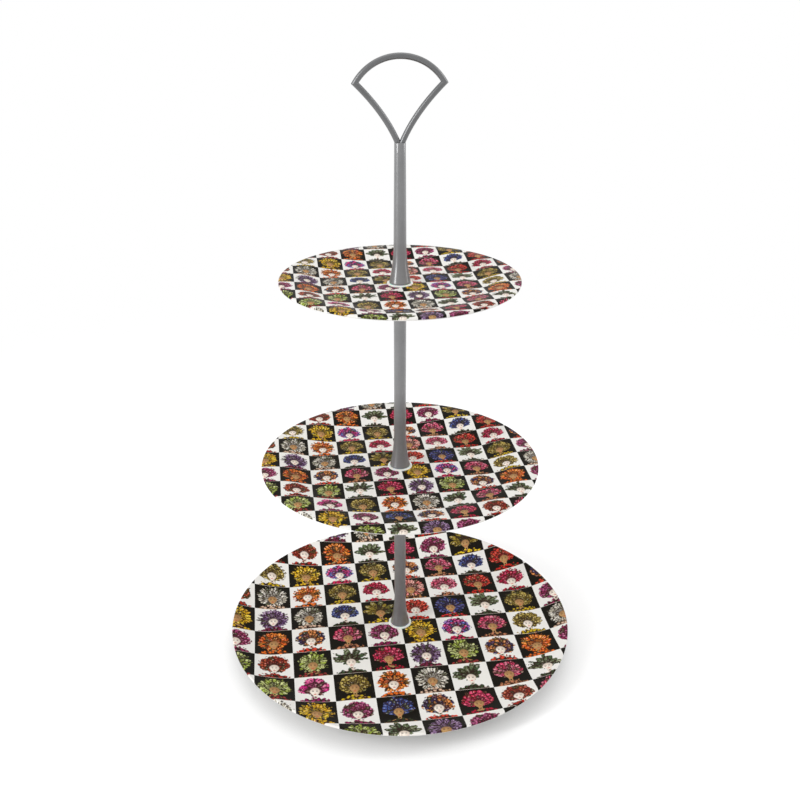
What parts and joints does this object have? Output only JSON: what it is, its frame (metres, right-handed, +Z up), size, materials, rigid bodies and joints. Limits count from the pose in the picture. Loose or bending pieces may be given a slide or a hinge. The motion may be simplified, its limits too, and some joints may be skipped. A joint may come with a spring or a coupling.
{
  "type": "tiered cake stand",
  "caption": "Tiered cake stand: round glazed plates with a checkered portrait print on slim screwed metal columns, under a fan-shaped carrying handle.",
  "frame": {"origin": "on the table, on the axis of the columns", "axes": "+Z up along the columns; the handle's width lies along X"},
  "size_m": [0.2666, 0.2666, 0.4465],
  "materials": {
    "glazed_porcelain": "clear gloss glaze over white porcelain, the upper face printed under the glaze with a black and white check of flower-haired heads",
    "satin_steel": "satin, fine polishing lines round the tubes",
    "screw_steel": "plain bright steel, turned and threaded",
    "washer_plastic": "milky soft plastic"
  },
  "bodies": {
    "base": {"bottom_plate": "glazed_porcelain", "bottom_plate_lower_washer": "washer_plastic", "base_steel_washer": "screw_steel", "base_nut": "screw_steel"},
    "lower_foot_washer": {"bottom_plate_upper_washer": "washer_plastic"},
    "lower_tube": {"lower_column": "satin_steel", "lower_stud": "screw_steel", "lower_insert": "screw_steel", "middle_plate_lower_washer": "washer_plastic"},
    "middle_tier": {"middle_plate": "glazed_porcelain"},
    "middle_foot_washer": {"middle_plate_upper_washer": "washer_plastic"},
    "middle_tube": {"middle_column": "satin_steel", "middle_stud": "screw_steel", "middle_insert": "screw_steel", "top_plate_lower_washer": "washer_plastic"},
    "top_tier": {"top_plate": "glazed_porcelain"},
    "handle_foot_washer": {"top_plate_upper_washer": "washer_plastic"},
    "handle": {"handle_column": "satin_steel", "handle_stud": "screw_steel", "handle_plug": "satin_steel", "handle_right_leg": "satin_steel", "handle_left_leg": "satin_steel", "handle_arch": "satin_steel"}
  },
  "joints": [
    {"name": "lower_column_rise", "type": "slide", "parent": "base", "child": "lower_foot_washer", "axis": [0, 0, 1], "range_m": [0, 0.003]},
    {"name": "lower_column_turn", "type": "hinge", "parent": "lower_foot_washer", "child": "lower_tube", "pos_m": [0, 0, 0.012], "axis": [0, 0, 1], "range_deg": [0, 1350]},
    {"name": "middle_plate_turn", "type": "hinge", "parent": "lower_tube", "child": "middle_tier", "pos_m": [0, 0, 0.1495], "axis": [0, 0, 1], "continuous": true},
    {"name": "middle_column_rise", "type": "slide", "parent": "lower_tube", "child": "middle_foot_washer", "axis": [0, 0, 1], "range_m": [0, 0.0074]},
    {"name": "middle_column_turn", "type": "hinge", "parent": "middle_foot_washer", "child": "middle_tube", "pos_m": [0, 0, 0.155], "axis": [0, 0, 1], "range_deg": [0, 3330]},
    {"name": "top_plate_turn", "type": "hinge", "parent": "middle_tube", "child": "top_tier", "pos_m": [0, 0, 0.2913], "axis": [0, 0, 1], "continuous": true},
    {"name": "handle_rise", "type": "slide", "parent": "middle_tube", "child": "handle_foot_washer", "axis": [0, 0, 1], "range_m": [0, 0.0074]},
    {"name": "handle_turn", "type": "hinge", "parent": "handle_foot_washer", "child": "handle", "pos_m": [0, 0, 0.2968], "axis": [0, 0, 1], "range_deg": [0, 3330]}
  ],
  "couplings": [
    {"joint": "lower_column_turn", "follows": "lower_column_rise", "rad_per_m": 7854},
    {"joint": "middle_column_turn", "follows": "middle_column_rise", "rad_per_m": 7854},
    {"joint": "handle_turn", "follows": "handle_rise", "rad_per_m": 7854}
  ]
}
